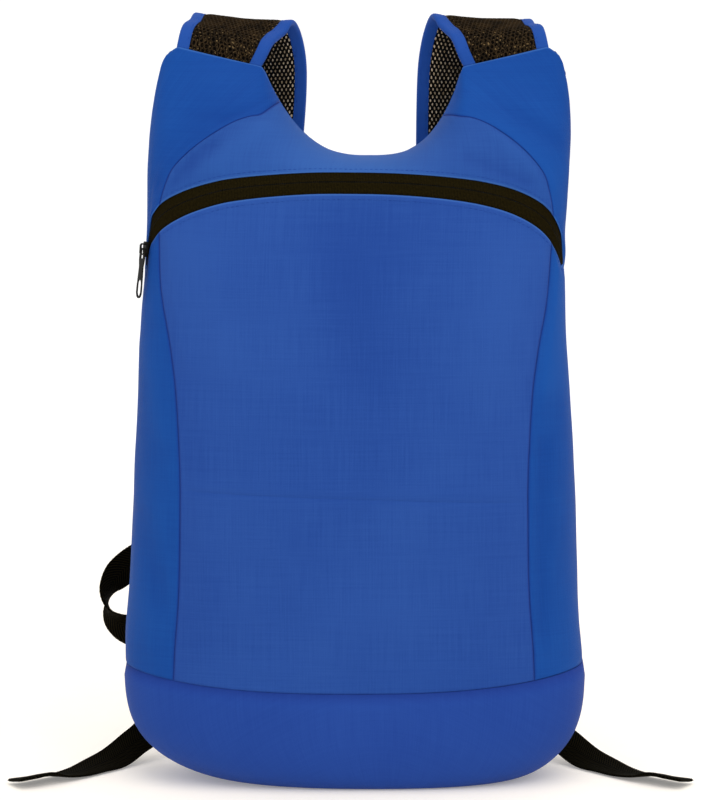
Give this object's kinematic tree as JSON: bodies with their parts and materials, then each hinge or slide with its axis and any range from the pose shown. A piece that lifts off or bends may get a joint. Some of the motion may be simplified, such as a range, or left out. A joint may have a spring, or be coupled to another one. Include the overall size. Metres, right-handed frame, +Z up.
{
  "type": "sports backpack",
  "caption": "Soft cloth backpack standing on its base, with an arched zipper across the front, padded mesh shoulder straps, adjusters and loose webbing tails.",
  "frame": {"origin": "on the base's flat underside, under the middle of the body, on the surface that the bag stands on", "axes": "+Z up, -Y out of the front with the zipper, +X to the right as seen from the front"},
  "size_m": [0.4126, 0.1469, 0.4605],
  "materials": {
    "shell_cloth": "plain woven blue cloth",
    "binding": "folded blue woven tape",
    "strap_mesh": "black open net over thin padding",
    "webbing": "black ribbed webbing",
    "zip_tape": "black woven zipper tape and coil",
    "slider_metal": "black paint, satin",
    "adjuster_plastic": "black moulded plastic"
  },
  "bodies": {
    "bag": {"front_panel": "shell_cloth", "side_panel_left": "shell_cloth", "side_panel_right": "shell_cloth", "bottom_panel": "shell_cloth", "back_panel": "shell_cloth", "top_yoke": "shell_cloth", "shoulder_panel_left": "shell_cloth", "shoulder_panel_right": "shell_cloth", "zip_tape_upper": "zip_tape", "zip_tape_lower": "zip_tape", "zip_coil": "zip_tape", "zip_slider": "slider_metal", "strap_mesh_left": "strap_mesh", "strap_binding_left_inner": "binding", "strap_binding_left_outer": "binding", "strap_tab_left": "webbing", "webbing_left": "webbing", "webbing_tail_left": "webbing", "ladder_lock_left": "adjuster_plastic", "strap_mesh_right": "strap_mesh", "strap_binding_right_inner": "binding", "strap_binding_right_outer": "binding", "strap_tab_right": "webbing", "webbing_right": "webbing", "webbing_tail_right": "webbing", "ladder_lock_right": "adjuster_plastic"},
    "zip_pull": {"zip_pull": "slider_metal"}
  },
  "joints": [
    {"name": "pull_swing", "type": "hinge", "parent": "bag", "child": "zip_pull", "pos_m": [-0.12548, -0.01074, 0.32074], "axis": [-0.3948, 0.9188, 0], "range_deg": [0, 150]}
  ]
}
